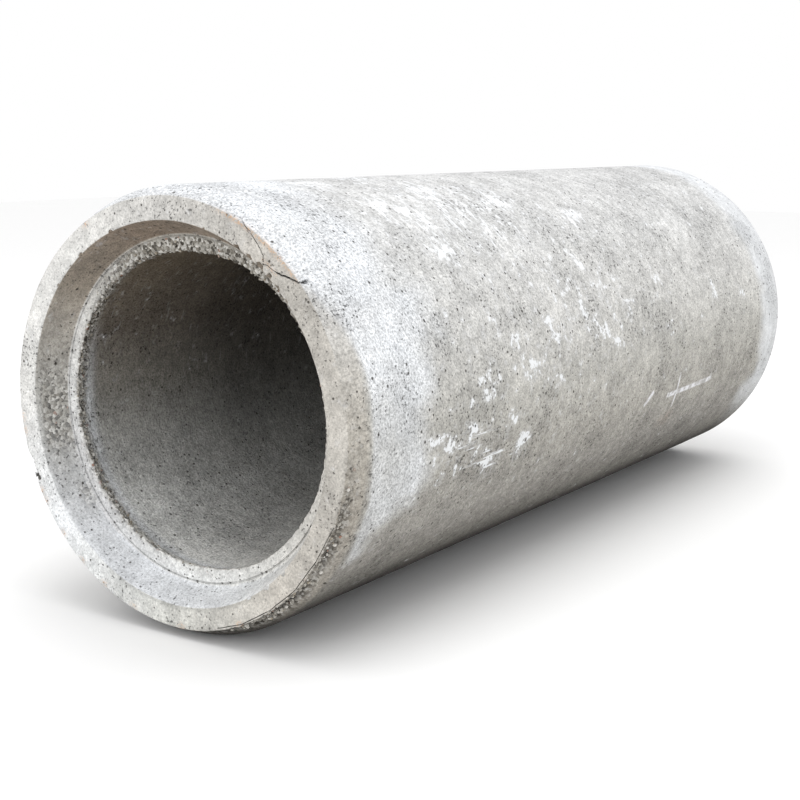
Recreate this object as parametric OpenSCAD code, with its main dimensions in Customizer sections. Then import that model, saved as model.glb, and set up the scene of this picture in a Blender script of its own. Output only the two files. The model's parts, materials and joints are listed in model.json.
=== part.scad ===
// Concrete sewer pipe with a rebated joint: a tapered socket is sunk into one
// end of the wall, and a tapered tongue that fits such a socket stands out of
// the other. It is cast in one piece and lies on its side along X.
// The origin is on the ground, under the middle of the pipe.

/* [Barrel] */
// Length that one pipe adds to a line, from the socket face to the tongue's shoulder
laying_length = 1000; // [600:50:3000]
// Diameter of the waterway
bore_d = 300; // [200:10:1200]
// Thickness of the wall
wall = 55; // [45:1:140]

/* [Socket] */
// Depth of the socket
socket_depth = 30; // [20:1:60]
// Width of the flat ring between the socket's root and the bore
ledge = 12; // [11:1:25]
// How much narrower the socket's radius is at its root than at its mouth
socket_taper = 12; // [6:1:15]

/* [Header band] */
// Length of the tapered band that the mould's end ring leaves beside the socket face
band_length = 20; // [10:1:40]
// How much smaller the band's radius is at the socket face than the barrel's
band_drop = 9; // [3:1:12]

/* [Joint clearance] */
// Gap for mortar or a seal around the tongue
joint_gap = 3; // [1:0.5:5]
// Gap between the tongue's tip and the root of the socket
end_gap = 4; // [2:1:10]

/* [Edges] */
// Rounding of the outer edge at the socket face
rim_round = 3; // [1:0.5:4]
// Rounding where the header band runs into the barrel
band_round = 12; // [4:1:20]
// Rounding of the outer edge at the tongue's shoulder
shoulder_round = 5; // [1:1:10]
// Rounding of the socket's mouth
mouth_round = 3; // [1:0.5:5]
// Rounding in the root of the socket and at the foot of the tongue
root_round = 4; // [1:0.5:5]
// Rounding of both edges of the bore and of the tongue's tip
bore_round = 2; // [0.5:0.5:3]

/* [Hidden] */

ARC_STEPS = 6;
ROUND_FN = 180;
CONCRETE = [0.66, 0.645, 0.61];

bore_r = bore_d / 2;
outside_r = bore_r + wall;

root_r = bore_r + ledge;
mouth_r = root_r + socket_taper;
slope = socket_taper / socket_depth;

tongue_length = socket_depth - end_gap;
foot_r = mouth_r - joint_gap;
tip_r = foot_r - slope * tongue_length;
overall_length = laying_length + tongue_length;

// Corners of the wall's section as [radius, distance from the socket face, rounding]
SECTION = [
    [bore_r, socket_depth, bore_round],
    [bore_r, overall_length, bore_round],
    [tip_r, overall_length, bore_round],
    [foot_r, laying_length, root_round],
    [outside_r, laying_length, shoulder_round],
    [outside_r, band_length, band_round],
    [outside_r - band_drop, 0, rim_round],
    [mouth_r, 0, mouth_round],
    [root_r, socket_depth, root_round],
];

function unit(v) = v / norm(v);
function place(corner) = [corner[0], corner[1]];
function short_turn(angle) = angle > 180 ? angle - 360 : angle < -180 ? angle + 360 : angle;

// The arc that replaces corner c between its neighbours p and n
function corner_arc(p, c, n, r) =
    let (
        u = unit(p - c),
        v = unit(n - c),
        half = acos(u * v) / 2,
        middle = c + unit(u + v) * r / sin(half),
        first = c + u * r / tan(half) - middle,
        last = c + v * r / tan(half) - middle,
        start = atan2(first[1], first[0]),
        sweep = short_turn(atan2(last[1], last[0]) - start)
    )
    [for (i = [0 : ARC_STEPS])
        middle + r * [cos(start + sweep * i / ARC_STEPS), sin(start + sweep * i / ARC_STEPS)]];

function rounded(corners) =
    let (count = len(corners))
    [for (i = [0 : count - 1])
        each corner_arc(
            place(corners[(i + count - 1) % count]),
            place(corners[i]),
            place(corners[(i + 1) % count]),
            corners[i][2]
        )];

module pipe() {
    color(CONCRETE)
        translate([-overall_length / 2, 0, outside_r])
            rotate([0, 90, 0])
                rotate_extrude($fn = ROUND_FN)
                    polygon(rounded(SECTION));
}

pipe();
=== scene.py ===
"""Looks of a cast concrete sewer pipe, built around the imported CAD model."""

import json
import math
import random

import bpy
import numpy as np
from mathutils import Matrix, Vector, noise


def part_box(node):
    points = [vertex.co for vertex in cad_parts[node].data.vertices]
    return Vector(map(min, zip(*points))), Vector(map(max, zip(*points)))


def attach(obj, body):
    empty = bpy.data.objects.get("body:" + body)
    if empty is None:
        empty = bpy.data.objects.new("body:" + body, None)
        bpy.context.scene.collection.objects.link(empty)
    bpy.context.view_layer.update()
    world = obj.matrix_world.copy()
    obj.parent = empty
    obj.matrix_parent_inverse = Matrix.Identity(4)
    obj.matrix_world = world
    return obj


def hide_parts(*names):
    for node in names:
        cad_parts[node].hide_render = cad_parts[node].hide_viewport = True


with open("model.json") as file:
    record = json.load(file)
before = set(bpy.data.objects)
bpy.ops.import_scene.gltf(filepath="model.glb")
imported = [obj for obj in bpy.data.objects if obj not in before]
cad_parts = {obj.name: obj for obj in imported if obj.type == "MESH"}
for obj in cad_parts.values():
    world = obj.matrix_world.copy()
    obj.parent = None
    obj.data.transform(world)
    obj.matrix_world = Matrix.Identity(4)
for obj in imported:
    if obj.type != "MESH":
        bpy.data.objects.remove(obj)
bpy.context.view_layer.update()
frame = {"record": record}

MM = 0.001
DICE = random.Random(31)

# ---------------------------------------------------------------- sizes, in metres

low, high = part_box("pipe")
FACE_X = low.x
TIP_X = high.x
OUTSIDE = (high.z - low.z) / 2 - 0.05 * MM
AXIS_Z = low.z + (high.z - low.z) / 2
MOUNTS = {mount["name"]: mount for mount in frame["record"]["mounts"]}
BORE = MOUNTS["bore"]["dims"]["r_mm"] * MM
SHOULDER_X = MOUNTS["tongue_shoulder"]["pos_m"][0]

SOCKET_DEPTH = 30 * MM
ROOT = BORE + 12 * MM
MOUTH = ROOT + 12 * MM
RIM = OUTSIDE - 9 * MM
BAND = 20 * MM
SLOPE = 0.4
FOOT = MOUTH - 3 * MM
TIP = FOOT - SLOPE * (TIP_X - SHOULDER_X)
NEAR_END = 60 * MM

# ---------------------------------------------------------------- camera, floor and light

EYE = Vector((-1.412, -0.856, 0.450))
YAW = math.radians(34.1)
PITCH = math.radians(-10.6)


def look_along(direction):
    """The rotation that points a camera or an area light along a direction."""
    return Vector(direction).to_track_quat("-Z", "Y").to_euler()


def soft_light(name, place, target, size, power, colour):
    """A large softbox that shines from place towards target."""
    bpy.ops.object.light_add(type="AREA", location=place)
    light = bpy.context.object
    light.name = name
    light.rotation_euler = look_along(Vector(target) - Vector(place))
    light.data.shape = "DISK"
    light.data.size = size
    light.data.energy = power
    light.data.color = colour


ahead = math.cos(PITCH)
gaze = (ahead * math.cos(YAW), ahead * math.sin(YAW), math.sin(PITCH))
bpy.ops.object.camera_add(location=EYE, rotation=look_along(gaze))
camera = bpy.context.object
camera.data.sensor_width = 36
camera.data.lens = 63.3
camera.data.clip_start = 0.05
bpy.context.scene.camera = camera

bpy.context.scene.view_settings.view_transform = "Standard"

world = bpy.data.worlds.new("studio")
bpy.context.scene.world = world
world.use_nodes = True
backdrop = world.node_tree.nodes["Background"]
backdrop.inputs["Color"].default_value = (1.0, 1.0, 1.0, 1)
backdrop.inputs["Strength"].default_value = 1.0

WHITE = (1.0, 1.0, 1.0)
soft_light("sky_panel", (-0.3, -0.5, 2.6), (0.0, 0.0, 0.3), 2.4, 24, WHITE)
soft_light("front_panel", (-3.2, 0.5, 1.0), (-0.4, 0.0, 0.2), 1.8, 14, WHITE)

# ---------------------------------------------------------------- node helper and colours


def linear(hex_colour):
    """An sRGB hex colour as linear red, green, blue and alpha."""
    channels = [int(hex_colour[i : i + 2], 16) / 255 for i in (1, 3, 5)]
    return [c / 12.92 if c <= 0.04045 else ((c + 0.055) / 1.055) ** 2.4 for c in channels] + [1]


def add(tree, kind, inputs=None, **settings):
    """Adds a node with its settings. An input is another node's output or a plain value."""
    made = tree.nodes.new(kind)
    for name, value in settings.items():
        setattr(made, name, value)
    for key, value in (inputs or {}).items():
        if isinstance(value, bpy.types.NodeSocket):
            tree.links.new(value, made.inputs[key])
        else:
            made.inputs[key].default_value = value
    return made


# ---------------------------------------------------------------- places on the pipe
# A place is given as millimetres along from the socket face, degrees of turn round the
# axis (0 faces -Y, 90 is the top, 180 faces +Y, -90 is the bottom) and millimetres of radius.


def at(along, turn, radius):
    """The point at a place on the pipe."""
    angle = math.radians(turn)
    return Vector((
        FACE_X + along * MM,
        -radius * MM * math.cos(angle),
        AXIS_Z + radius * MM * math.sin(angle),
    ))


def places(mesh):
    """How far along, at what turn and at what radius each vertex lies, as arrays."""
    spots = np.empty(len(mesh.vertices) * 3)
    mesh.vertices.foreach_get("co", spots)
    x, y, z = spots.reshape(-1, 3).T
    along = (x - FACE_X) / MM
    turn = np.degrees(np.arctan2(z - AXIS_Z, -y))
    radius = np.hypot(y, z - AXIS_Z) / MM
    return along, turn, radius


def hill(value, centre, width):
    """One at the centre, and falling smoothly to nothing at about twice the width from it."""
    return np.exp(-(((value - centre) / width) ** 2))


def rise(value, start, end):
    """Nothing before start, one after end, and a smooth rise between them."""
    share = np.clip((value - start) / (end - start), 0, 1)
    return share * share * (3 - 2 * share)


def round_the_pipe(turn, stops):
    """A value that follows (turn, value) stops round the pipe, closing on itself."""
    turns = [t for t, _ in stops]
    values = [v for _, v in stops]
    return np.interp(turn, turns, values, period=360)


# ---------------------------------------------------------------- the pipe's mesh

AROUND = 192
# Spacing of the points along the section: on plain stretches, near the socket and at worn edges
SPARSE = 18 * MM
CLOSE = 3 * MM
TIGHT = 1.8 * MM


def steps(start, end, spacing):
    """Points from start towards end, without the end, no more than spacing apart."""
    start, end = Vector(start), Vector(end)
    count = max(1, math.ceil((end - start).length / spacing))
    return [start.lerp(end, i / count) for i in range(count)]


def corners():
    """The corners of the wall's section as (axial place, radius), each with the spacing after it."""
    near = FACE_X + SOCKET_DEPTH
    return [
        ((near + 20 * MM, BORE), CLOSE),
        ((FACE_X + NEAR_END, BORE), SPARSE),
        ((TIP_X - 2 * MM, BORE), 1 * MM),
        ((TIP_X, BORE + 2 * MM), CLOSE),
        ((TIP_X, TIP - 2 * MM), 1 * MM),
        ((TIP_X - 2 * MM, TIP + 0.5 * MM), CLOSE),
        ((SHOULDER_X + 3 * MM, FOOT - 1 * MM), 2 * MM),
        ((SHOULDER_X, FOOT + 3 * MM), CLOSE),
        ((SHOULDER_X, OUTSIDE - 5 * MM), 1 * MM),
        ((SHOULDER_X - 0.7 * MM, OUTSIDE - 2.5 * MM), 1 * MM),
        ((SHOULDER_X - 2.5 * MM, OUTSIDE - 0.7 * MM), 1 * MM),
        ((SHOULDER_X - 5 * MM, OUTSIDE), SPARSE),
        ((FACE_X + NEAR_END, OUTSIDE), CLOSE),
        ((FACE_X + BAND + 3 * MM, OUTSIDE), 2 * MM),
        ((FACE_X + BAND, OUTSIDE - 0.4 * MM), TIGHT),
        ((FACE_X + 2 * MM, RIM + 0.9 * MM), 1 * MM),
        ((FACE_X + 0.6 * MM, RIM - 0.2 * MM), 1 * MM),
        ((FACE_X, RIM - 1.9 * MM), TIGHT),
        ((FACE_X, RIM - 8 * MM), CLOSE),
        ((FACE_X, MOUTH + 2 * MM), 1 * MM),
        ((FACE_X + 0.6 * MM, MOUTH + 0.3 * MM), 1 * MM),
        ((FACE_X + 1.9 * MM, MOUTH - 0.8 * MM), CLOSE),
        ((near - 2.5 * MM, ROOT + 1 * MM), 1.5 * MM),
        ((near - 0.7 * MM, ROOT - 0.4 * MM), 1.5 * MM),
        ((near, ROOT - 1.6 * MM), TIGHT),
        ((near, ROOT - 2.0 * MM), TIGHT),
        ((near + 1.0 * MM, ROOT - 2.4 * MM), TIGHT),
        ((near + 1.0 * MM, ROOT - 3.0 * MM), TIGHT),
        ((near, ROOT - 3.5 * MM), TIGHT),
        ((near, BORE + 2 * MM), 1 * MM),
        ((near + 0.6 * MM, BORE + 0.6 * MM), 1 * MM),
        ((near + 2 * MM, BORE), TIGHT),
    ]


def section():
    """Points round the wall's section, from the bore's near edge and back to it."""
    points = []
    turning = corners()
    for i, (corner, spacing) in enumerate(turning):
        points += steps(corner, turning[(i + 1) % len(turning)][0], spacing)
    return points


def take_only(piece):
    """Makes a piece the only selected one, so that an operator acts on it alone."""
    bpy.ops.object.select_all(action="DESELECT")
    bpy.context.view_layer.objects.active = piece
    piece.select_set(True)


def add_point(place):
    """A new object in edit mode that holds one selected vertex."""
    bpy.ops.object.select_all(action="DESELECT")
    bpy.ops.mesh.primitive_plane_add(size=MM, location=place)
    bpy.ops.object.transform_apply(location=True, rotation=True, scale=True)
    bpy.ops.object.mode_set(mode="EDIT")
    bpy.ops.mesh.select_all(action="SELECT")
    bpy.ops.mesh.merge(type="CENTER")
    return bpy.context.object


def spin_section(outline):
    """Extrudes the section point by point and spins it round the axis."""
    pipe = add_point((outline[0].x, 0, AXIS_Z + outline[0].y))
    for here, there in zip(outline, outline[1:] + outline[:1]):
        move = (there.x - here.x, 0, there.y - here.y)
        bpy.ops.mesh.extrude_region_move(TRANSFORM_OT_translate={"value": move})
    bpy.ops.mesh.select_all(action="SELECT")
    bpy.ops.mesh.remove_doubles(threshold=0.01 * MM)
    bpy.ops.mesh.select_all(action="SELECT")
    bpy.ops.mesh.spin(steps=AROUND, angle=2 * math.pi, center=(0, 0, AXIS_Z), axis=(1, 0, 0))
    bpy.ops.mesh.select_all(action="SELECT")
    bpy.ops.mesh.remove_doubles(threshold=0.05 * MM)
    bpy.ops.mesh.normals_make_consistent(inside=False)
    bpy.ops.object.mode_set(mode="OBJECT")
    return pipe


def halve_round_edges(pipe, wanted):
    """Cuts in two each edge that runs round the pipe between vertices that are wanted."""
    mesh = pipe.data
    along, turn, radius = places(mesh)
    ends = np.empty(len(mesh.edges) * 2, dtype=int)
    mesh.edges.foreach_get("vertices", ends)
    a, b = ends.reshape(-1, 2).T
    level = (abs(along[a] - along[b]) < 0.05) & (abs(radius[a] - radius[b]) < 0.3)
    keep = wanted(along, turn, radius)
    take_only(pipe)
    bpy.ops.object.mode_set(mode="EDIT")
    bpy.ops.mesh.select_mode(type="EDGE")
    bpy.ops.mesh.select_all(action="DESELECT")
    bpy.ops.object.mode_set(mode="OBJECT")
    mesh.edges.foreach_set("select", level & keep[a] & keep[b])
    bpy.ops.object.mode_set(mode="EDIT")
    bpy.ops.mesh.subdivide(number_cuts=1)
    bpy.ops.mesh.select_mode(type="VERT")
    bpy.ops.object.mode_set(mode="OBJECT")


def near_end(along, turn, radius):
    """The stretch by the socket, inside and out."""
    return along < NEAR_END / MM + 1


def worn_edges(along, turn, radius):
    """The header band with its edge, and the bore's mouth with the ring round it."""
    outer = (along < 23.5) & (radius > 187.5)
    inner = (along > 29) & (along < 50) & (radius < 160)
    return outer | inner


pipe = spin_section(section())
pipe.name = "cast_pipe"
halve_round_edges(pipe, near_end)
halve_round_edges(pipe, worn_edges)

# ---------------------------------------------------------------- worn and broken edges

# How ragged the bore's mouth is, round the pipe
BORE_WEAR = (
    (-180, 0.95), (-165, 0.7), (-140, 0.9), (-115, 0.6), (-80, 0.3), (-50, 0.2), (-20, 0.3),
    (0, 0.45), (40, 0.6), (75, 0.5), (95, 0.6), (120, 1.0), (150, 1.0),
)
# How far cement stands out round the bore's mouth, in millimetres
LIP = (
    (-180, 3.6), (-150, 4.0), (-85, 6.0), (-75, 4.2), (-61, 2.2), (-36, 1.6), (-26, 0.2), (30, 0.2),
    (44, 0.5), (54, 1.8), (70, 3.4), (84, 6.0), (95, 6.0), (127, 4.6), (163, 3.6),
)
# How open the concrete is along the outer edge, where the mould's end ring leaked
EDGE_WEAR = (
    (-180, 0.08), (-80, 0.1), (-70, 0.5), (-60, 1.0), (-48, 1.0), (-38, 0.7), (-30, 0.95),
    (-22, 0.75), (-12, 0.35), (0, 0.14), (40, 0.08), (110, 0.06), (150, 0.12),
)


def lip(along, turn, radius):
    """How far the cement squeezed out at the bore's mouth stands into the bore, in millimetres."""
    reach = (1 - rise(along, 31, 50)) * (along > 29) * (1 - rise(radius, 150, 160))
    return round_the_pipe(turn, LIP) * reach


def without_lip(along, turn, radius):
    """The radius that a place near the bore's mouth would have without the lip."""
    return radius + lip(along, turn, radius + lip(along, turn, radius))


def bore_wear(along, turn, radius):
    """The ragged mouth of the bore."""
    wear = round_the_pipe(turn, BORE_WEAR)
    inward = (without_lip(along, turn, radius) - 150) / 3.0
    reach = np.hypot((along - 32 - 4 * wear) / (2.5 + 6 * wear), inward)
    return np.exp(-(reach**2)) * wear * (along > 29)


def edge_wear(along, turn, radius):
    """The open concrete along the outer edge and on the header band."""
    reach = np.hypot((along - 4) / 7, (radius - 199) / 4.2)
    return np.exp(-(reach**2)) * round_the_pipe(turn, EDGE_WEAR) * (radius > 185)


def ring_wear(along, turn, radius):
    """Coarse grains on the ring round the bore, over the top half."""
    ring = (along > 29) & (along < 33) & (radius < 158.5)
    return ring * rise(turn, 25, 50) * (1 - rise(turn, 115, 145))


def displace(piece, name, pattern, grain, depth, weight=None, level=1.0):
    """Moves a piece's surface by a pattern of a given grain and depth. At level 1 it's only
    pressed in, and below that some of it stands out."""
    texture = bpy.data.textures.new(name, type=pattern)
    texture.noise_scale = grain
    modifier = piece.modifiers.new(name, "DISPLACE")
    modifier.texture = texture
    modifier.texture_coords = "LOCAL"
    modifier.mid_level = level
    modifier.strength = depth
    if weight is not None:
        group = piece.vertex_groups.new(name=name)
        for i in np.nonzero(weight > 0.01)[0]:
            group.add([int(i)], float(weight[i]), "REPLACE")
        modifier.vertex_group = name
    take_only(piece)
    bpy.ops.object.modifier_apply(modifier=name)


def draw_in_lip(mesh):
    """Moves the bore's mouth in towards the axis by the cement that stands out there."""
    along, turn, radius = places(mesh)
    shares = 1 - lip(along, turn, radius) / np.maximum(radius, 1)
    for vertex, share in zip(mesh.vertices, shares):
        vertex.co.y *= share
        vertex.co.z = AXIS_Z + (vertex.co.z - AXIS_Z) * share


draw_in_lip(pipe.data)
spots = places(pipe.data)
displace(pipe, "settling", "CLOUDS", 70 * MM, 0.7 * MM)
displace(pipe, "worn_bore_lumps", "CLOUDS", 7 * MM, 6 * MM, bore_wear(*spots), 0.65)
displace(pipe, "worn_bore_grains", "VORONOI", 3.4 * MM, 5.5 * MM, bore_wear(*spots), 0.65)
displace(pipe, "open_edge_lumps", "CLOUDS", 8 * MM, 3.5 * MM, edge_wear(*spots))
displace(pipe, "open_edge_grains", "VORONOI", 4 * MM, 5 * MM, edge_wear(*spots))
displace(pipe, "ring_grains", "VORONOI", 3 * MM, 1.6 * MM, ring_wear(*spots))

# Chips along the outer edge: turn, length round the edge and bite into it, in millimetres
CHIPS = (
    (-172, 7, 1.6), (-168, 8, 2.0), (-125, 5, 1.6), (-119, 4, 1.4), (-109, 9, 1.8), (-90, 12, 2.0),
    (-84, 6, 1.4), (-62, 9, 3.0), (-47, 12, 3.5), (-38, 8, 3.0), (-24, 9, 3.0), (-8, 6, 2.2),
    (-16, 4, 1.6), (-12, 3, 1.3), (-4, 4, 1.5), (3, 5, 1.7), (9, 3, 1.3), (15, 5, 1.5),
    (29, 4, 1.3), (35, 5, 1.5), (22, 4, 1.4), (49, 5, 1.6), (63, 8, 2.0), (86, 5, 1.3),
    (97, 4, 1.2), (112, 7, 1.8), (121, 6, 2.2), (139, 7, 1.6), (143, 10, 1.8), (147, 6, 1.6),
    (154, 8, 2.2), (168, 4, 1.4),
)
# Chips along the mouth of the socket, in the same terms
MOUTH_CHIPS = (
    (-60, 6, 1.6), (-52, 9, 2.4), (-44, 8, 2.8), (40, 6, 1.8), (44.5, 8, 2.6), (48.5, 7, 3.6),
    (52.5, 10, 4.2), (57, 8, 2.6), (62, 9, 2.4), (75, 5, 1.4), (86, 4, 1.2), (112, 6, 1.6),
    (119, 5, 1.4), (127, 6, 1.6), (133, 5, 1.3), (141, 5, 1.5), (152, 4, 1.2),
)
# Single breaks: the place, the turn it faces, its size along, round and out, its roughness and
# its faces. Two make the large one on the outer edge, one is the hole where a crack ends, and
# one is a flake off the face beside a crack.
BREAKS = (
    ((0.5, -160, 199), -160, (20, 30, 17), 1.6, 3),
    ((1, -156, 194), -156, (9, 9, 12), 1.2, 3),
    ((5.4, 40.7, 199), 41, (8.5, 4.6, 10), 0.5, 3),
    ((0.3, 60.3, 193.2), 60, (4, 5, 3), 0.5, 2),
)
# Cracks in the socket face, as points of (turn, radius), with a width and a depth
CRACKS = (
    (((52.2, 179), (50.8, 181.8), (48.8, 182.8), (47, 184.6)), 0.7, 4),
    (((47.4, 184.2), (45.6, 186.6), (43.9, 190.4), (42.6, 192.7), (40.9, 195.4)), 1.7, 9),
    (
        ((52.3, 181), (53.3, 185.2), (54.9, 187.8), (57, 190.3), (59.6, 193.2), (63, 195.8), (66, 199)),
        1.1,
        5,
    ),
    (((-75, 193), (-66, 193.6), (-55, 193), (-44, 193.4), (-33, 193), (-22, 194.5)), 0.8, 4),
)


def rock(place, turn, size, roughness, faces=2):
    """A rough lump at a place, its size given along, round and out from the axis. Each step of
    faces makes it four times finer."""
    bpy.ops.object.select_all(action="DESELECT")
    bpy.ops.mesh.primitive_ico_sphere_add(
        subdivisions=faces,
        radius=1,
        location=place,
        rotation=(math.radians(90 - turn), 0, 0),
        scale=[s * MM / 2 for s in size],
    )
    bpy.ops.object.transform_apply(location=True, rotation=True, scale=True)
    bpy.ops.object.mode_set(mode="EDIT")
    bpy.ops.mesh.select_all(action="SELECT")
    bpy.ops.transform.vertex_random(offset=roughness * MM, normal=0.5, seed=DICE.randrange(1000))
    bpy.ops.object.mode_set(mode="OBJECT")
    return bpy.context.object


def crack(points, width, depth):
    """A thin jagged blade that follows points of (turn, radius) over the socket face."""
    route = [at(-2, turn, radius) for turn, radius in points]
    blade = add_point(route[0])
    for here, there in zip(route, route[1:]):
        bpy.ops.mesh.extrude_region_move(TRANSFORM_OT_translate={"value": there - here})
    bpy.ops.mesh.select_all(action="SELECT")
    bpy.ops.mesh.subdivide(number_cuts=3)
    bpy.ops.transform.vertex_random(offset=0.45 * MM, seed=DICE.randrange(1000))
    bpy.ops.mesh.extrude_region_move(TRANSFORM_OT_translate={"value": ((depth + 2) * MM, 0, 0)})
    bpy.ops.object.mode_set(mode="OBJECT")
    thicken = blade.modifiers.new("width", "SOLIDIFY")
    thicken.thickness = width * MM
    thicken.offset = 0
    take_only(blade)
    bpy.ops.object.modifier_apply(modifier="width")
    return blade


def join(pieces, name):
    """Joins pieces into one under a name."""
    bpy.ops.object.select_all(action="DESELECT")
    for piece in pieces:
        piece.select_set(True)
    bpy.context.view_layer.objects.active = pieces[0]
    bpy.ops.object.join()
    pieces[0].name = name
    return pieces[0]


def copies(piece, spots):
    """Copies of a piece at (place, turn, size) spots, each with a mesh of its own."""
    made = []
    for place, turn, size in spots:
        copy = piece.copy()
        copy.data = piece.data.copy()
        width, length = size * DICE.uniform(0.7, 1.3), size * DICE.uniform(0.7, 1.3)
        stretch = Matrix.Diagonal((width, length, size, 1))
        face_out = Matrix.Rotation(math.radians(90 - turn), 4, "X")
        spin = Matrix.Rotation(DICE.uniform(0, 6.28), 4, "Z")
        copy.data.transform(Matrix.Translation(place) @ face_out @ stretch @ spin)
        bpy.context.collection.objects.link(copy)
        made.append(copy)
    return made


def carve(piece, cutters, name):
    """Cuts the shapes of the cutters out of a piece."""
    cutter = join(cutters, name)
    cut = piece.modifiers.new(name, "BOOLEAN")
    cut.operation = "DIFFERENCE"
    cut.solver = "MANIFOLD"
    cut.object = cutter
    take_only(piece)
    bpy.ops.object.modifier_apply(modifier=name)
    bpy.data.objects.remove(cutter)


# Clusters of small air holes on the barrel: millimetres along, degrees of turn and how many
PIT_CLUSTERS = (
    (84, 14, 9), (330, -2, 8), (560, 20, 8), (36, 98, 8), (200, 150, 10), (520, 200, 12),
)


def barrel_pits():
    """Places of the larger air holes on the barrel: scattered, in clusters and along the seam
    where the header band ends."""
    found = []
    for _ in range(210):
        found.append((DICE.uniform(24, 995), DICE.uniform(-70, 250), DICE.uniform(0.9, 2.3)))
    for along, turn, count in PIT_CLUSTERS:
        for _ in range(count):
            found.append((DICE.gauss(along, 8), DICE.gauss(turn, 3.5), DICE.uniform(0.7, 1.5)))
    for _ in range(75):
        found.append((DICE.gauss(21.5, 1.2), DICE.uniform(-30, 58), DICE.uniform(0.6, 1.5)))
    return [(at(along, turn, OUTSIDE / MM), turn, size * MM) for along, turn, size in found]


def bore_pits():
    """Places of the larger air holes in the bore, closer together near its mouth."""
    found = []
    for _ in range(90):
        along = 50 + 900 * DICE.random() ** 2
        turn = DICE.uniform(-180, 180)
        found.append((at(along, turn, BORE / MM), turn, DICE.uniform(0.8, 2.0) * MM))
    return found


def face_pits():
    """Places of the air holes on the socket face and on the socket's wall."""
    found = []
    for _ in range(34):
        turn = DICE.uniform(-180, 180)
        found.append((at(0, turn, DICE.uniform(177, 192)), turn, DICE.uniform(0.5, 1.1) * MM))
    for _ in range(30):
        turn = DICE.uniform(-180, 180)
        along = DICE.uniform(4, 26)
        wall = MOUTH / MM - 0.4 - SLOPE * along
        found.append((at(along, turn, wall), turn, DICE.uniform(0.5, 1.2) * MM))
    found.append((at(6, -153, 171.4), -153, 2.0 * MM))
    return found


cutters = []
for turn, length, bite in CHIPS:
    size = (bite * 2.4, length, bite * 2.2)
    cutters.append(rock(at(DICE.uniform(-0.6, 1.2), turn, RIM / MM + 0.6), turn, size, bite * 0.35))
for place, turn, size, rough, faces in BREAKS:
    cutters.append(rock(at(*place), turn, size, rough, faces))
for turn, length, bite in MOUTH_CHIPS:
    size = (bite * 2.2, length, bite * 2.4)
    cutters.append(rock(at(DICE.uniform(-0.5, 1), turn, MOUTH / MM + 0.4), turn, size, bite * 0.35))

# A lump of 1 m in radius, so that the size of a copy is its radius in metres
air_hole = rock(Vector((0, 0, 0)), 90, (2000, 2000, 2000), 130)
cutters += copies(air_hole, barrel_pits() + bore_pits() + face_pits())
bpy.data.objects.remove(air_hole)
carve(pipe, cutters, "breakouts")
carve(pipe, [crack(points, width, depth) for points, width, depth in CRACKS], "cracks")

# ---------------------------------------------------------------- stains and painted light and shade, laid by place
# Colours round the pipe, as (turn, colour) stops

# Painted light and shade on the barrel: palest over the top, darkening down the side to near-black on the
# underside
BARREL_TINTS_AND_PAINTED_SHADE = (
    (-180, "#b3b1ac"), (-150, "#9c9a95"), (-130, "#6f6c66"), (-115, "#45423e"), (-70, "#24221f"),
    (-59, "#2b2926"), (-52, "#4b4843"), (-43, "#7a7771"), (-30, "#96938d"), (-15, "#a9a69f"),
    (0, "#b8b6b0"), (20, "#cac9c6"), (45, "#cececd"), (90, "#cfcfcf"), (130, "#cbcbc9"),
    (155, "#bfbeba"),
)
FACE_TINTS = (
    (-180, "#dad9d6"), (-140, "#e4e6e8"), (-95, "#d0d0cb"), (-50, "#beb9b1"), (-10, "#b8b4ad"),
    (20, "#b9b5ae"), (55, "#bab6af"), (90, "#c5c3bf"), (135, "#d5d4d1"),
)
# The socket's wall: a brownish stain and painted shade over the top, where the wall faces down, and
# painted light at the bottom, where it faces up
SOCKET_TINTS_AND_PAINTED_LIGHT = (
    (-180, "#c0bfbb"), (-150, "#c8c9ca"), (-110, "#e2e4e8"), (-60, "#d4d4d2"), (-20, "#c2bfb9"),
    (30, "#a49d93"), (60, "#83786b"), (105, "#7c6f62"), (140, "#958c80"), (165, "#b0aca5"),
)
RING_TINTS = (
    (-180, "#dfdfde"), (-140, "#d4d4d5"), (-95, "#e8e9e8"), (-40, "#d2d0cb"), (0, "#c0bcb5"),
    (50, "#a8a49c"), (110, "#aaa69e"), (150, "#cfcecb"),
)
# The bore: painted light along its lower side near the mouth, and painted shade over the top, where it is
# also browner
BORE_TINTS_AND_PAINTED_LIGHT = (
    (-180, "#908d86"), (-158, "#bcbcb9"), (-130, "#e6e7e5"), (-90, "#e6e6e3"), (-55, "#c4c1bb"),
    (0, "#847f78"), (60, "#6d6458"), (120, "#6b6051"), (155, "#746c62"),
)
BLOOM = "#e0e3e7"
BAND_SOIL = "#a8a196"

# How far the lime bloom beside the socket face reaches along the barrel, round the pipe
BLOOM_REACH = (
    (-180, 70), (-140, 20), (-60, 0), (-36, 4), (-22, 80), (-10, 108), (8, 118), (28, 150),
    (45, 112), (70, 130), (110, 150), (150, 110),
)
# Where that bloom starts, round the pipe: at the face over the top, and behind the band lower down
BLOOM_START = ((-180, 20), (-60, 27), (12, 26), (27, 16), (42, 0), (130, 0), (160, 16))
# How strong it is there, how strong it is in the bore's mouth, and on the socket's wall
BLOOM_STRENGTH = ((-60, 0.3), (-25, 0.6), (15, 1.0), (160, 1.0))
BORE_BLOOM = ((-180, 0.9), (-80, 0.8), (-60, 0), (150, 0), (175, 0.7))
SOCKET_BLOOM = ((-160, 0), (-130, 0.6), (-70, 0.5), (-45, 0), (180, 0))
# How much soil sticks to the header band
BAND_DIRT = ((-60, 0.1), (-20, 0.75), (10, 0.55), (40, 0), (180, 0))
# How rough the socket's wall is
SOCKET_ROUGH = (
    (-180, 0.75), (-166, 0.7), (-160, 0.15), (-145, 0.1), (-130, 0), (150, 0), (172, 0.3),
)
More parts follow.
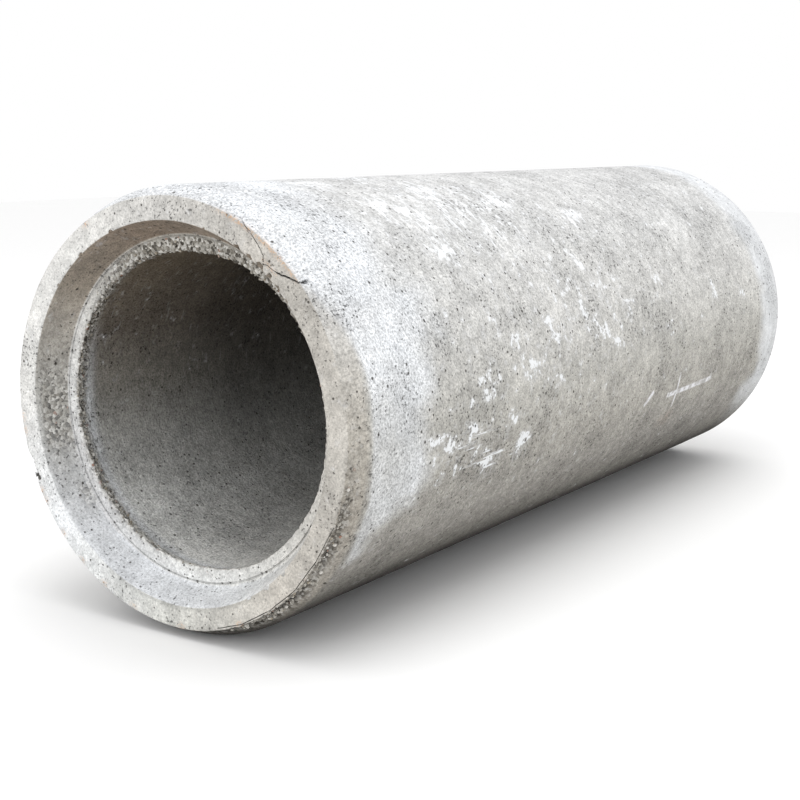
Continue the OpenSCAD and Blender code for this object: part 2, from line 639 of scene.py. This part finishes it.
# Lime flecks, as millimetres along, degrees of turn and width in millimetres
FLECKS = (
    (120, -5, 11), (150, -8, 12), (185, -5, 11), (205, 5, 12), (225, 5, 10), (225, -17, 13), (255, -6, 11),
    (268, 15, 12), (285, -15, 13), (295, 6, 11), (315, 6, 11), (350, 1, 12), (348, 15, 13), (383, 14, 12),
    (408, 26, 11), (425, 19, 9), (438, 14, 11), (465, 11, 12), (455, 33, 10), (470, 25, 9), (490, 7, 8),
    (520, 18, 9), (517, 27, 8), (517, 50, 18), (625, 25, 9), (640, 7, 8), (775, 16, 12), (825, 14, 8),
    (870, 13, 9), (190, 63, 16), (228, 56, 18), (220, 43, 20), (300, 70, 24), (400, 62, 22),
    (160, 80, 22), (260, 88, 26), (240, 140, 20), (330, 165, 14), (420, 120, 24), (560, 150, 16),
    (610, 172, 13), (700, 130, 20), (860, 160, 12),
)
# Stretches of sparse flecks: strength, degrees of turn and their spread, millimetres along and theirs
FLECK_STRETCHES = (
    (0.6, 60, 22, 290, 200), (0.42, 15, 24, 380, 280), (0.4, 125, 30, 400, 300),
    (0.45, -10, 9, 160, 70), (0.3, 60, 25, 780, 160),
)
# Orange stains of rusting grains near the outer edge, as degrees of turn
RUST_TURNS = (-174, -170, -152, -149, -138, -128, -118, -106, -88, -67, 120)

# Where one part of the surface ends and the next starts, in millimetres along
FACE_END = 1.2
SOCKET_END = 29.6
RING_END = 31.6
SHOULDER_START = 1001


def tint(turn, stops):
    """Linear colours that follow (turn, colour) stops round the pipe."""
    channels = [round_the_pipe(turn, [(t, linear(c)[i]) for t, c in stops]) for i in range(3)]
    return np.stack(channels, axis=1)


def blend(under, over, share):
    """Colours with a share of another colour laid over them."""
    return under + (np.array(linear(over)[:3]) - under) * share[:, None]


def depth_below(along, radius):
    """How deep each vertex lies under the cast surface, in millimetres."""
    spot = np.stack([along, radius], axis=1)
    outline = [((x - FACE_X) / MM, r / MM) for (x, r), _ in corners()]
    nearest = np.full(len(along), 1e9)
    for start, end in zip(outline, outline[1:] + outline[:1]):
        start, side = np.array(start), np.subtract(end, start)
        share = np.clip((spot - start) @ side / (side @ side), 0, 1)
        gap = np.linalg.norm(spot - start - share[:, None] * side, axis=1)
        nearest = np.minimum(nearest, gap)
    return nearest


def store(mesh, name, values):
    """Keeps one value, or one colour, for each vertex under a name."""
    if values.ndim == 1:
        mesh.attributes.new(name, "FLOAT", "POINT").data.foreach_set("value", values.astype(np.float32))
    else:
        colours = np.column_stack([values, np.ones(len(values))])
        mesh.attributes.new(name, "FLOAT_COLOR", "POINT").data.foreach_set("color", colours.ravel())


def zones(along, radius, inner):
    """Which vertices lie on the barrel, the end faces, the socket's wall, the ring and the bore."""
    barrel = (radius > 184) & (along > FACE_END) & (along < SHOULDER_START)
    face = ((along <= FACE_END) & (radius > 170)) | ((along >= SHOULDER_START) & (radius > 152))
    socket = (along > FACE_END) & (along < SOCKET_END) & (radius < 184)
    ring = (along >= SOCKET_END) & (along < RING_END) & (inner > 151.3) & (radius < 170)
    return barrel, face, socket, ring, ~(barrel | face | socket | ring)


def bloom_by_the_face(along, turn, wander):
    """The lime bloom on the barrel beside the socket face."""
    reach = round_the_pipe(turn, BLOOM_REACH) + 26 * wander
    start = round_the_pipe(turn, BLOOM_START) + 4 * wander
    fade = (1 - rise(along, reach - 30, reach + 26)) * rise(reach, 0, 30)
    return fade * rise(along, start - 4, start + 4) * round_the_pipe(turn, BLOOM_STRENGTH)


def groove_shade_and_mouth_line(turn, radius, face, ring):
    """Painted shade in the ring's groove, and a darker line round the lower part of the socket's mouth."""
    low_down = rise(-turn, 50, 62) * (1 - rise(-turn, 105, 125))
    in_groove = 0.5 * hill(radius, ROOT / MM - 2.7, 0.6) * ring
    return np.maximum(in_groove, 0.22 * hill(radius, 175.5, 1.2) * face * low_down)


def lime_flecks(along, turn):
    """How thickly the barrel is flecked with lime."""
    flecks = 0
    for strength, facing, spread_round, place, spread_along in FLECK_STRETCHES:
        flecks = flecks + strength * hill(turn, facing, spread_round) * hill(along, place, spread_along)
    for place, facing, width in FLECKS:
        span = np.radians(turn - facing) * OUTSIDE / MM
        flecks = np.maximum(flecks, np.exp(-((along - place) ** 2 + span**2) / (1.3 * width) ** 2))
    return np.clip(flecks, 0, 1) * (1 - rise(-turn, 38, 50))


def rust_stains(along, turn, radius):
    """Rust between the cracks, in spots along the outer edge and at one spot on the barrel."""
    rust = 0.9 * hill(radius, 194.4, 1.8) * rise(turn, 40, 44) * (1 - rise(turn, 66, 76))
    for facing in RUST_TURNS:
        span = np.radians(turn - facing) * RIM / MM
        rust = np.maximum(rust, np.exp(-((span / 4) ** 2) - ((radius - 193) / 3) ** 2))
    by_the_crack = rise(turn, 46, 48) * (1 - rise(turn, 52, 54))
    rust = np.maximum(rust, 0.7 * hill(radius, 182.5, 1.6) * by_the_crack)
    rust = np.maximum(rust, 0.35 * hill(along, 665, 14) * hill(turn, -26, 2.5))
    return rust * ((along < 3) | (along > 600))


def bared_grit(along, turn, radius, socket):
    """How far the grit is bared on the worn edges and in the socket."""
    rough = np.maximum(bore_wear(along, turn, radius) * 1.3, edge_wear(along, turn, radius) * 1.4)
    rough = np.maximum(rough, 0.9 * ring_wear(along, turn, radius))
    rough = np.maximum(rough, round_the_pipe(turn, SOCKET_ROUGH) * rise(along, 3, 8) * socket)
    rough = np.maximum(rough, 0.5 * hill(turn, -145, 6) * rise(along, 16, 22) * socket)
    return np.clip(rough, 0, 1)


def paint(mesh):
    """Lays the stains, the lime, the rust and painted light and shade on the pipe by the place of each
    vertex.
    """
    along, turn, radius = places(mesh)
    inner = without_lip(along, turn, radius)
    barrel, face, socket, ring, bore = zones(along, radius, inner)
    colours = np.zeros((len(along), 3))
    colours[barrel] = tint(turn[barrel], BARREL_TINTS_AND_PAINTED_SHADE)
    colours[face] = tint(turn[face], FACE_TINTS)
    colours[socket] = tint(turn[socket], SOCKET_TINTS_AND_PAINTED_LIGHT)
    colours[ring] = tint(turn[ring], RING_TINTS)
    colours[bore] = tint(turn[bore], BORE_TINTS_AND_PAINTED_LIGHT)
    # Painted shade: the bore darkens deeper in, least along its bottom
    deep = rise(along, 60, 300) * bore * (0.35 + 0.65 * rise(abs(turn + 100), 30, 90))
    colours *= (1 - 0.45 * deep)[:, None]

    wander = np.array([noise.fractal(v.co / 0.045, 0.8, 2, 4) for v in mesh.vertices])
    near = bloom_by_the_face(along, turn, wander)
    far = rise(along + 20 * wander, 920, 955) * rise(abs(turn + 90), 40, 70)
    bloom = np.maximum(near * (0.85 + 0.25 * wander), far * 0.75) * barrel * 0.85
    bloom = np.maximum(bloom, hill(along, 45, 8) * round_the_pipe(turn, BORE_BLOOM) * bore)
    bloom = np.maximum(bloom, round_the_pipe(turn, SOCKET_BLOOM) * socket)
    colours = blend(colours, BLOOM, bloom)
    band = (1 - rise(along, 16, 24)) * barrel
    colours = blend(colours, BAND_SOIL, band * round_the_pipe(turn, BAND_DIRT))
    # Painted shade in the groove, and the darker line round the socket's mouth
    colours *= (1 - groove_shade_and_mouth_line(turn, radius, face, ring))[:, None]

    sandy = np.where(barrel, 0.75 + 0.25 * near - 0.45 * far, 0.55 + 0.35 * bore)
    store(mesh, "tint", colours)
    store(mesh, "bloom", bloom)
    store(mesh, "sandy", np.clip(sandy, 0, 1))
    store(mesh, "flecks", lime_flecks(along, turn) * barrel)
    store(mesh, "drag", rise(turn, 25, 50) - hill(turn, -14, 14) * hill(along, 210, 130))
    store(mesh, "rust", rust_stains(along, turn, radius))
    store(mesh, "rough", bared_grit(along, turn, radius, socket))
    store(mesh, "hollow", depth_below(along, inner))


paint(pipe.data)

# ---------------------------------------------------------------- bared stones

BORE_STONES = 380
EDGE_STONES = 140
RING_STONES = 120


def stone_places():
    """Where stones stand out of the bore's mouth, the outer edge and the ring, thickest where
    these are most worn."""
    found = []
    while len(found) < BORE_STONES:
        along, turn = DICE.uniform(30.5, 46), DICE.uniform(-180, 180)
        surface = 150 - float(lip(along, turn, 150))
        wear = float(bore_wear(along, turn, surface))
        if wear > 0.35 and DICE.random() < wear:
            place = at(along, turn, surface + 0.8 + 1.6 * wear)
            found.append((place, turn + 180, DICE.uniform(0.7, 1.7) * MM))
    while len(found) < BORE_STONES + EDGE_STONES:
        along, turn = DICE.uniform(2.7, 12), DICE.uniform(-72, -8)
        surface = RIM / MM + 0.45 * along
        wear = float(edge_wear(along, turn, surface))
        if wear > 0.3 and DICE.random() < wear:
            place = at(along, turn, surface - 1.2 - 3.4 * wear)
            found.append((place, turn, DICE.uniform(0.8, 1.9) * MM))
    while len(found) < BORE_STONES + EDGE_STONES + RING_STONES:
        turn = DICE.uniform(28, 140)
        ring = DICE.uniform(151 - float(round_the_pipe(turn, LIP)), 157)
        found.append((at(30.9, turn, ring), turn, DICE.uniform(0.6, 1.3) * MM))
    return found


pebble = rock(Vector((0, 0, 0)), 90, (2000, 2000, 2000), 300, 1)
pebbles = copies(pebble, stone_places())
bpy.data.objects.remove(pebble)
stones = join(pebbles, "bared_stones")

# ---------------------------------------------------------------- materials

# The chalk's strokes on the unrolled barrel: both ends as millimetres along and round it from
# its side, and the width
CHALK_STROKES = (
    ((642, -58.5), (777, -55.8), 6.5),
    ((668, -33), (670, -78), 3.6),
    ((597, -46), (578, -61), 6.0),
)


def matt_material(name, roughness, shine):
    """A new material with its node tree and its shader, dull all over."""
    material = bpy.data.materials.new(name)
    material.use_nodes = True
    shader = material.node_tree.nodes["Principled BSDF"]
    shader.inputs["Roughness"].default_value = roughness
    shader.inputs["Specular IOR Level"].default_value = shine
    return material, material.node_tree, shader


def stone_colours(tree, chance, first, last, between):
    """One of a few flat colours for each stone. The last one is the rarest."""
    picked = add(tree, "ShaderNodeValToRGB", {0: chance})
    ramp = picked.color_ramp
    ramp.interpolation = "CONSTANT"
    ramp.elements[0].color = linear(first)
    ramp.elements[1].position = 0.985
    ramp.elements[1].color = linear(last)
    for place, shade in between:
        ramp.elements.new(place).color = linear(shade)
    return picked.outputs[0]


def crushed_gravel():
    """Crushed gravel bared in broken concrete: dusty angular stones of grey, buff and white,
    each of one colour, with grey cement still on them."""
    material, tree, shader = matt_material("crushed_gravel", 0.85, 0.3)
    spot = add(tree, "ShaderNodeTexCoord").outputs["Object"]
    which = add(tree, "ShaderNodeNewGeometry").outputs["Random Per Island"]
    stone = stone_colours(tree, which, "#4f4a43", "#8f6a58", (
        (0.22, "#7f7a71"), (0.45, "#a5a199"), (0.7, "#cfccc6"), (0.86, "#938876"),
    ))
    dust = add(tree, "ShaderNodeTexNoise", {"Vector": spot, "Scale": 1 / 0.0016, "Detail": 1.0})
    coat = add(tree, "ShaderNodeMapRange", {
        "Value": dust.outputs[0], "From Min": 0.45, "From Max": 0.6, "To Min": 0.1, "To Max": 0.6,
    })
    colour = add(tree, "ShaderNodeMix", {
        0: coat.outputs[0], 6: stone, 7: linear("#b3b0a9"),
    }, data_type="RGBA")
    tree.links.new(colour.outputs[2], shader.inputs["Base Color"])
    relief = add(tree, "ShaderNodeMath", {0: dust.outputs[0], 1: 0.3 * MM}, operation="MULTIPLY")
    bump = add(tree, "ShaderNodeBump", {"Height": relief.outputs[0], "Distance": 1.0})
    tree.links.new(bump.outputs[0], shader.inputs["Normal"])
    return material


def cement_shades(tree, spot, marks, colour, clouds, patches, sand):
    """Shades the painted colour by the clouds, the patches, the sand and fine scratches."""
    # Scratches that the mould leaves round the pipe as it is drawn off, 3.5 mm apart
    stretched = add(tree, "ShaderNodeMapping", {
        "Vector": spot, "Scale": (1 / 0.0035, 1 / 0.035, 1 / 0.035),
    })
    scratches = add(tree, "ShaderNodeTexNoise", {
        "Vector": stretched.outputs[0], "Scale": 1.0, "Detail": 1.0,
    })
    # The lime bloom evens out the patches and lets the sand show
    even = add(tree, "ShaderNodeMapRange", {"Value": marks["bloom"], "To Min": 1.0, "To Max": 0.35})
    for pattern, dark, pale, share in (
        (clouds, 0.87, 1.09, 1.0),
        (patches, 0.76, 1.17, even.outputs[0]),
        (sand, 0.62, 1.32, marks["sandy"]),
        (scratches, 0.94, 1.05, 1.0),
    ):
        shade = add(tree, "ShaderNodeMapRange", {
            "Value": pattern.outputs[0], "From Min": 0.3, "From Max": 0.7, "To Min": dark, "To Max": pale,
        })
        colour = add(tree, "ShaderNodeMix", {
            0: share, 6: colour, 7: shade.outputs[0],
        }, data_type="RGBA", blend_type="MULTIPLY").outputs[2]
    return colour


def dark_specks(tree, spot, clouds):
    """Dark grains, and pinholes painted dark as their shade, of 3 mm and less, thick in the
    darker clouds and thin in the paler ones. The value is low in a speck and 1 beside it."""
    grains = add(tree, "ShaderNodeTexNoise", {
        "Vector": spot, "Scale": 1 / 0.0030, "Detail": 2.0, "Roughness": 0.6,
    })
    thick = add(tree, "ShaderNodeMapRange", {
        "Value": clouds.outputs[0], "From Min": 0.35, "From Max": 0.65, "To Min": 0.41, "To Max": 0.31,
    })
    pinhole = add(tree, "ShaderNodeMath", {
        0: thick.outputs[0], 1: grains.outputs[0],
    }, operation="SUBTRACT")
    return add(tree, "ShaderNodeMapRange", {
        "Value": pinhole.outputs[0], "From Min": 0.0, "From Max": 0.06, "To Min": 1.0, "To Max": 0.34,
    })


def limed(tree, spot, marks, colour):
    """Lays lime flecks with sharp edges over a colour, and a thin veil of lime round them. They
    are dragged round the pipe over the top and along it low down."""
    lime_noise = add(tree, "ShaderNodeTexNoise", {
        "Vector": spot, "Scale": 1 / 0.012, "Detail": 3.0, "Roughness": 0.65,
    })
    round_it = (1 / 0.006, 1 / 0.024, 1 / 0.024)
    along_it = (1 / 0.040, 1 / 0.004, 1 / 0.004)
    for scale, low_down, on_top in ((round_it, 0.35, 0.03), (along_it, 0.02, 0.4)):
        drawn_out = add(tree, "ShaderNodeMapping", {"Vector": spot, "Scale": scale})
        streaks = add(tree, "ShaderNodeTexNoise", {
            "Vector": drawn_out.outputs[0], "Scale": 1.0, "Detail": 2.0, "Roughness": 0.65,
        })
        held_back = add(tree, "ShaderNodeMapRange", {
            "Value": marks["drag"], "From Min": -1.0, "To Min": low_down, "To Max": on_top,
        })
        fainter = add(tree, "ShaderNodeMath", {
            0: streaks.outputs[0], 1: held_back.outputs[0],
        }, operation="SUBTRACT")
        lime_noise = add(tree, "ShaderNodeMath", {
            0: lime_noise.outputs[0], 1: fainter.outputs[0],
        }, operation="MAXIMUM")
    level = add(tree, "ShaderNodeMapRange", {
        "Value": marks["flecks"], "To Min": 0.73, "To Max": 0.45,
    })
    over = add(tree, "ShaderNodeMath", {
        0: lime_noise.outputs[0], 1: level.outputs[0],
    }, operation="SUBTRACT")
    veil = add(tree, "ShaderNodeMapRange", {
        "Value": over.outputs[0], "From Min": -0.12, "From Max": 0.02, "To Min": 0.0, "To Max": 0.3,
    })
    colour = add(tree, "ShaderNodeMix", {
        0: veil.outputs[0], 6: colour, 7: linear("#dcdde0"),
    }, data_type="RGBA").outputs[2]
    lime = add(tree, "ShaderNodeMapRange", {
        "Value": over.outputs[0], "From Min": 0.0, "From Max": 0.04, "To Min": 0.0, "To Max": 0.85,
    })
    return add(tree, "ShaderNodeMix", {
        0: lime.outputs[0], 6: colour, 7: linear("#eceef0"),
    }, data_type="RGBA").outputs[2]


def small_air_holes(tree, spot):
    """Air holes, one to a cell of 6.5 mm, most of them too small to see. The value is high in
    a hole and 0 beside it."""
    cells = add(tree, "ShaderNodeTexVoronoi", {"Vector": spot, "Scale": 1 / 0.0065})
    chance = add(tree, "ShaderNodeSeparateColor", {0: cells.outputs["Color"]})
    hole_size = add(tree, "ShaderNodeMapRange", {
        "Value": chance.outputs[0], "From Min": 0.3, "From Max": 1.0, "To Min": 0.0, "To Max": 0.25,
    })
    inside = add(tree, "ShaderNodeMath", {
        0: hole_size.outputs[0], 1: cells.outputs["Distance"],
    }, operation="SUBTRACT")
    return add(tree, "ShaderNodeMapRange", {
        "Value": inside.outputs[0], "From Min": 0.0, "From Max": 0.06, "To Min": 0.0, "To Max": 0.85,
    })


def rusted_and_hollow_shaded(tree, marks, colour, sand):
    """Lays rust over a colour where the sand is paler, and painted shade in whatever is broken out, darker
    the deeper it lies.
    """
    rusty = add(tree, "ShaderNodeMapRange", {
        "Value": sand.outputs[0], "From Min": 0.42, "From Max": 0.62,
    })
    rust = add(tree, "ShaderNodeMath", {0: rusty.outputs[0], 1: marks["rust"]}, operation="MULTIPLY")
    rust = add(tree, "ShaderNodeMath", {0: rust.outputs[0], 1: 0.62}, operation="MULTIPLY")
    colour = add(tree, "ShaderNodeMix", {
        0: rust.outputs[0], 6: colour, 7: linear("#bd8850"),
    }, data_type="RGBA").outputs[2]
    # Painted shade: darker the deeper a place lies under the cast surface
    hollow_shade = add(tree, "ShaderNodeMapRange", {
        "Value": marks["hollow"], "From Min": 1.0, "From Max": 4.5, "To Min": 1.0, "To Max": 0.45,
    })
    return add(tree, "ShaderNodeMix", {
        0: 1.0, 6: colour, 7: hollow_shade.outputs[0],
    }, data_type="RGBA", blend_type="MULTIPLY").outputs[2]


def chalk_line(tree, unrolled, start, end, width):
    """How far each point lies outside a straight chalk stroke on the unrolled barrel, in metres."""
    start, end = Vector(start) * MM, Vector(end) * MM
    reach = (end - start).length / 2
    lean = math.atan2(end.y - start.y, end.x - start.x)
    along_it = add(tree, "ShaderNodeMapping", {
        "Vector": unrolled, "Location": (*((start + end) / 2), 0), "Rotation": (0, 0, lean),
    }, vector_type="TEXTURE")
    size = add(tree, "ShaderNodeVectorMath", {0: along_it.outputs[0]}, operation="ABSOLUTE")
    past = add(tree, "ShaderNodeVectorMath", {
        0: size.outputs[0], 1: (reach, width * MM / 2, 1),
    }, operation="SUBTRACT")
    sides = add(tree, "ShaderNodeSeparateXYZ", {0: past.outputs[0]})
    return add(tree, "ShaderNodeMath", {
        0: sides.outputs[0], 1: sides.outputs[1],
    }, operation="MAXIMUM").outputs[0]


def chalked(tree, spot, colour, patches):
    """Lays a chalk cross and a short stroke over a colour, on the unrolled outside only. The
    chalk skips over the patches."""
    split = add(tree, "ShaderNodeSeparateXYZ", {0: spot})
    rise_up = add(tree, "ShaderNodeMath", {0: split.outputs[2], 1: AXIS_Z}, operation="SUBTRACT")
    towards = add(tree, "ShaderNodeMath", {0: split.outputs[1], 1: -1.0}, operation="MULTIPLY")
    angle = add(tree, "ShaderNodeMath", {
        0: rise_up.outputs[0], 1: towards.outputs[0],
    }, operation="ARCTAN2")
    arc = add(tree, "ShaderNodeMath", {0: angle.outputs[0], 1: OUTSIDE}, operation="MULTIPLY")
    from_face = add(tree, "ShaderNodeMath", {0: split.outputs[0], 1: FACE_X}, operation="SUBTRACT")
    unrolled = add(tree, "ShaderNodeCombineXYZ", {0: from_face.outputs[0], 1: arc.outputs[0]})
    strokes = None
    for start, end, width in CHALK_STROKES:
        stroke = chalk_line(tree, unrolled.outputs[0], start, end, width)
        if strokes is not None:
            stroke = add(tree, "ShaderNodeMath", {0: strokes, 1: stroke}, operation="MINIMUM").outputs[0]
        strokes = stroke
    chalk = add(tree, "ShaderNodeMapRange", {
        "Value": strokes, "From Min": -0.0012, "From Max": 0.0008, "To Min": 1.0, "To Max": 0.0,
    })
    skips = add(tree, "ShaderNodeMapRange", {
        "Value": patches.outputs[0], "From Min": 0.4, "From Max": 0.52, "To Min": 0.25, "To Max": 0.8,
    })
    chalk = add(tree, "ShaderNodeMath", {0: chalk.outputs[0], 1: skips.outputs[0]}, operation="MULTIPLY")
    across = add(tree, "ShaderNodeCombineXYZ", {0: rise_up.outputs[0], 1: towards.outputs[0]})
    radius = add(tree, "ShaderNodeVectorMath", {0: across.outputs[0]}, operation="LENGTH")
    outside = add(tree, "ShaderNodeMath", {
        0: radius.outputs["Value"], 1: FOOT,
    }, operation="GREATER_THAN")
    chalk = add(tree, "ShaderNodeMath", {0: chalk.outputs[0], 1: outside.outputs[0]}, operation="MULTIPLY")
    return add(tree, "ShaderNodeMix", {
        0: chalk.outputs[0], 6: colour, 7: linear("#ececf1"),
    }, data_type="RGBA").outputs[2]


def cast_concrete():
    """Machine-cast concrete, stored outdoors: a dry matt grey of cement and sand, open with
    small air holes, with pale lime bloom and flecks, stones bared where it broke, and painted
    shade that darkens it under the pipe."""
    material, tree, shader = matt_material("cast_concrete", 0.95, 0.25)
    spot = add(tree, "ShaderNodeTexCoord").outputs["Object"]
    marks = {}
    for name in ("bloom", "sandy", "flecks", "drag", "rust", "rough", "hollow"):
        marks[name] = add(tree, "ShaderNodeAttribute", attribute_name=name).outputs["Fac"]
    colour = add(tree, "ShaderNodeAttribute", attribute_name="tint").outputs["Color"]

    # Clouds of paler and darker cement, 60 mm and 11 mm across, and sand of 2.2 mm
    clouds = add(tree, "ShaderNodeTexNoise", {"Vector": spot, "Scale": 1 / 0.060, "Detail": 2.0})
    patches = add(tree, "ShaderNodeTexNoise", {
        "Vector": spot, "Scale": 1 / 0.011, "Detail": 3.0, "Roughness": 0.7,
    })
    sand = add(tree, "ShaderNodeTexNoise", {
        "Vector": spot, "Scale": 1 / 0.0022, "Detail": 1.0, "Roughness": 0.8,
    })
    colour = cement_shades(tree, spot, marks, colour, clouds, patches, sand)
    specks = dark_specks(tree, spot, clouds)
    # Dark grains, and painted shade in the pinholes
    colour = add(tree, "ShaderNodeMix", {
        0: 1.0, 6: colour, 7: specks.outputs[0],
    }, data_type="RGBA", blend_type="MULTIPLY").outputs[2]
    colour = limed(tree, spot, marks, colour)
    holes = small_air_holes(tree, spot)
    # Painted shade: the small air holes are coloured near-black
    colour = add(tree, "ShaderNodeMix", {
        0: holes.outputs[0], 6: colour, 7: linear("#38342e"),
    }, data_type="RGBA").outputs[2]

    # Bared grit, 3 mm across, each grain of one flat colour; the darkest are painted shade for the gaps
    # between the grains
    grit = add(tree, "ShaderNodeTexVoronoi", {"Vector": spot, "Scale": 1 / 0.0030})
    chance = add(tree, "ShaderNodeSeparateColor", {0: grit.outputs["Color"]})
    grit_colour = stone_colours(tree, chance.outputs[0], "#3d3932", "#94705f", (
        (0.24, "#837e75"), (0.42, "#b5b2ab"), (0.62, "#d8d6d1"), (0.84, "#9e9b94"),
    ))
    bared = add(tree, "ShaderNodeMath", {0: marks["rough"], 1: 0.85}, operation="MULTIPLY")
    colour = add(tree, "ShaderNodeMix", {
        0: bared.outputs[0], 6: colour, 7: grit_colour,
    }, data_type="RGBA").outputs[2]
    # Rust, and painted shade in the broken-out hollows
    colour = rusted_and_hollow_shaded(tree, marks, colour, sand)
    colour = chalked(tree, spot, colour, patches)
    tree.links.new(colour, shader.inputs["Base Color"])

    # The relief, in metres: sand, patches, holes, specks, and grit that stands proud
    height = 0.0
    for pattern, depth in ((sand, 0.9 * MM), (patches, 1.2 * MM), (holes, -0.9 * MM), (specks, 0.7 * MM)):
        height = add(tree, "ShaderNodeMath", {
            0: pattern.outputs[0], 1: depth, 2: height,
        }, operation="MULTIPLY_ADD").outputs[0]
    proud = add(tree, "ShaderNodeMath", {
        0: grit.outputs["Distance"], 1: marks["rough"],
    }, operation="MULTIPLY")
    height = add(tree, "ShaderNodeMath", {
        0: proud.outputs[0], 1: -2.2 * MM, 2: height,
    }, operation="MULTIPLY_ADD").outputs[0]
    bump = add(tree, "ShaderNodeBump", {"Height": height, "Distance": 1.0, "Strength": 1.0})
    tree.links.new(bump.outputs[0], shader.inputs["Normal"])
    return material


pipe.data.materials.clear()
pipe.data.materials.append(cast_concrete())
stones.data.materials.append(crushed_gravel())
take_only(pipe)
bpy.ops.object.shade_smooth_by_angle(angle=math.radians(40))

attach(pipe, "root")
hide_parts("pipe")
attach(stones, "root")

# ---------------------------------------------------------------- floor

bpy.ops.object.select_all(action="DESELECT")
bpy.ops.mesh.primitive_plane_add(size=14, location=(0, 0, 0))
floor = bpy.context.object
floor.name = "floor"
paper = bpy.data.materials.new("white_floor")
paper.use_nodes = True
paper_shader = paper.node_tree.nodes["Principled BSDF"]
paper_shader.inputs["Base Color"].default_value = linear("#fbfbfb")
paper_shader.inputs["Roughness"].default_value = 0.95
floor.data.materials.append(paper)
